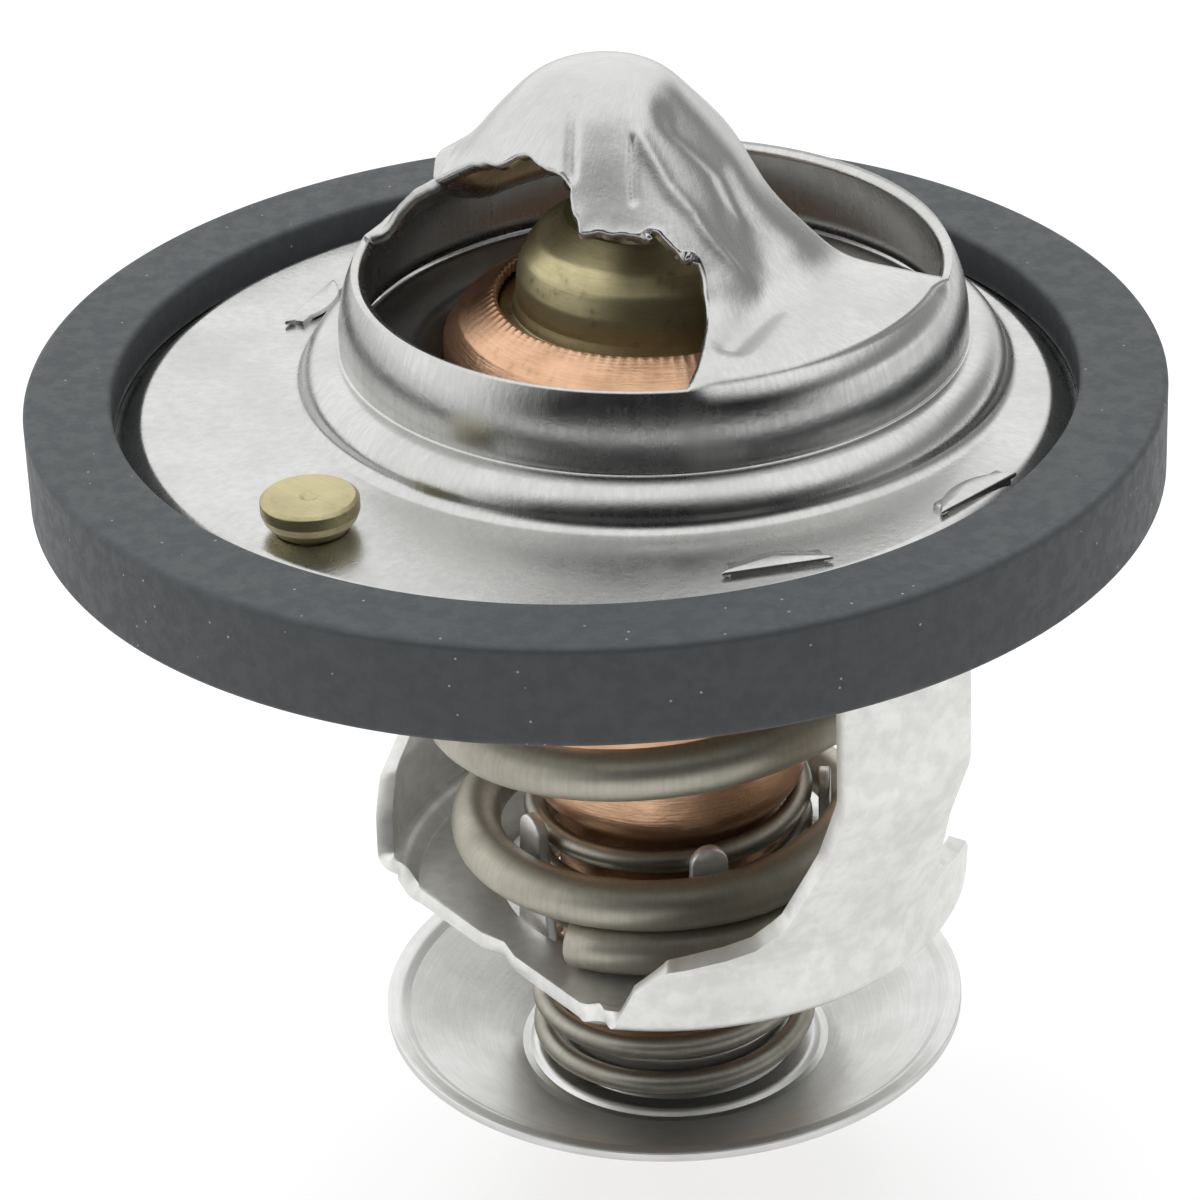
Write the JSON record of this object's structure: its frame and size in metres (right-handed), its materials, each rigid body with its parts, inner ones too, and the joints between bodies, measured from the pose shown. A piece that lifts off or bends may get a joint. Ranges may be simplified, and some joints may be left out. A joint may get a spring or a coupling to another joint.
{
  "type": "engine thermostat",
  "caption": "Wax-element thermostat with a rubber-edged steel flange, pierced dome and bridge, stamped lower frame, coil springs, copper cup and bypass disc.",
  "frame": {"origin": "centre of the copper cup's flat end face, on which the part stands", "axes": "+Z along the valve axis, from the cup's end towards the bridge's apex; +X and +Y are square to it, and the flange's centre lies off the axis towards -X and -Y"},
  "size_m": [0.056, 0.056, 0.0571],
  "materials": {
    "rubber": "matte moulded rubber",
    "flange_steel": "drawn and pickled, satin",
    "frame_steel": "matt plated",
    "rod_steel": "ground and polished",
    "spring_steel": "satin drawn wire",
    "bypass_wire": "satin drawn wire",
    "valve_steel": "satin",
    "disc_steel": "bright plated",
    "ring_steel": "satin",
    "copper": "bright copper with light tarnish",
    "brass": "turned, tarnished",
    "white_plastic": "smooth",
    "wax": "filled wax"
  },
  "bodies": {
    "housing": {"seal_ring": "rubber", "flange_bridge": "flange_steel", "lower_frame": "frame_steel", "piston_rod": "rod_steel", "main_spring": "spring_steel"},
    "valve": {"main_valve": "valve_steel", "wax_cup": "copper", "guide_body": "brass", "rod_wiper": "rubber", "backup_ring": "white_plastic", "rubber_sleeve": "rubber", "wax_charge": "wax", "retaining_ring": "ring_steel", "bypass_spring": "bypass_wire"},
    "bypass": {"bypass_disc": "disc_steel"},
    "jiggle": {"jiggle_pin": "brass", "jiggle_bob": "brass"}
  },
  "joints": [
    {"name": "valve_lift", "type": "slide", "parent": "housing", "child": "valve", "axis": [0, 0, -1], "range_m": [0, 0.008], "stiffness_N_per_m": 3000, "springref_m": -0.008, "deforming": ["main_spring"]},
    {"name": "bypass_slide", "type": "slide", "parent": "valve", "child": "bypass", "axis": [0, 0, 1], "range_m": [0, 0.005], "stiffness_N_per_m": 400, "springref_m": -0.006, "deforming": ["bypass_spring"]},
    {"name": "jiggle_play", "type": "slide", "parent": "housing", "child": "jiggle", "axis": [0, 0, 1], "range_m": [0, 0.001]}
  ]
}
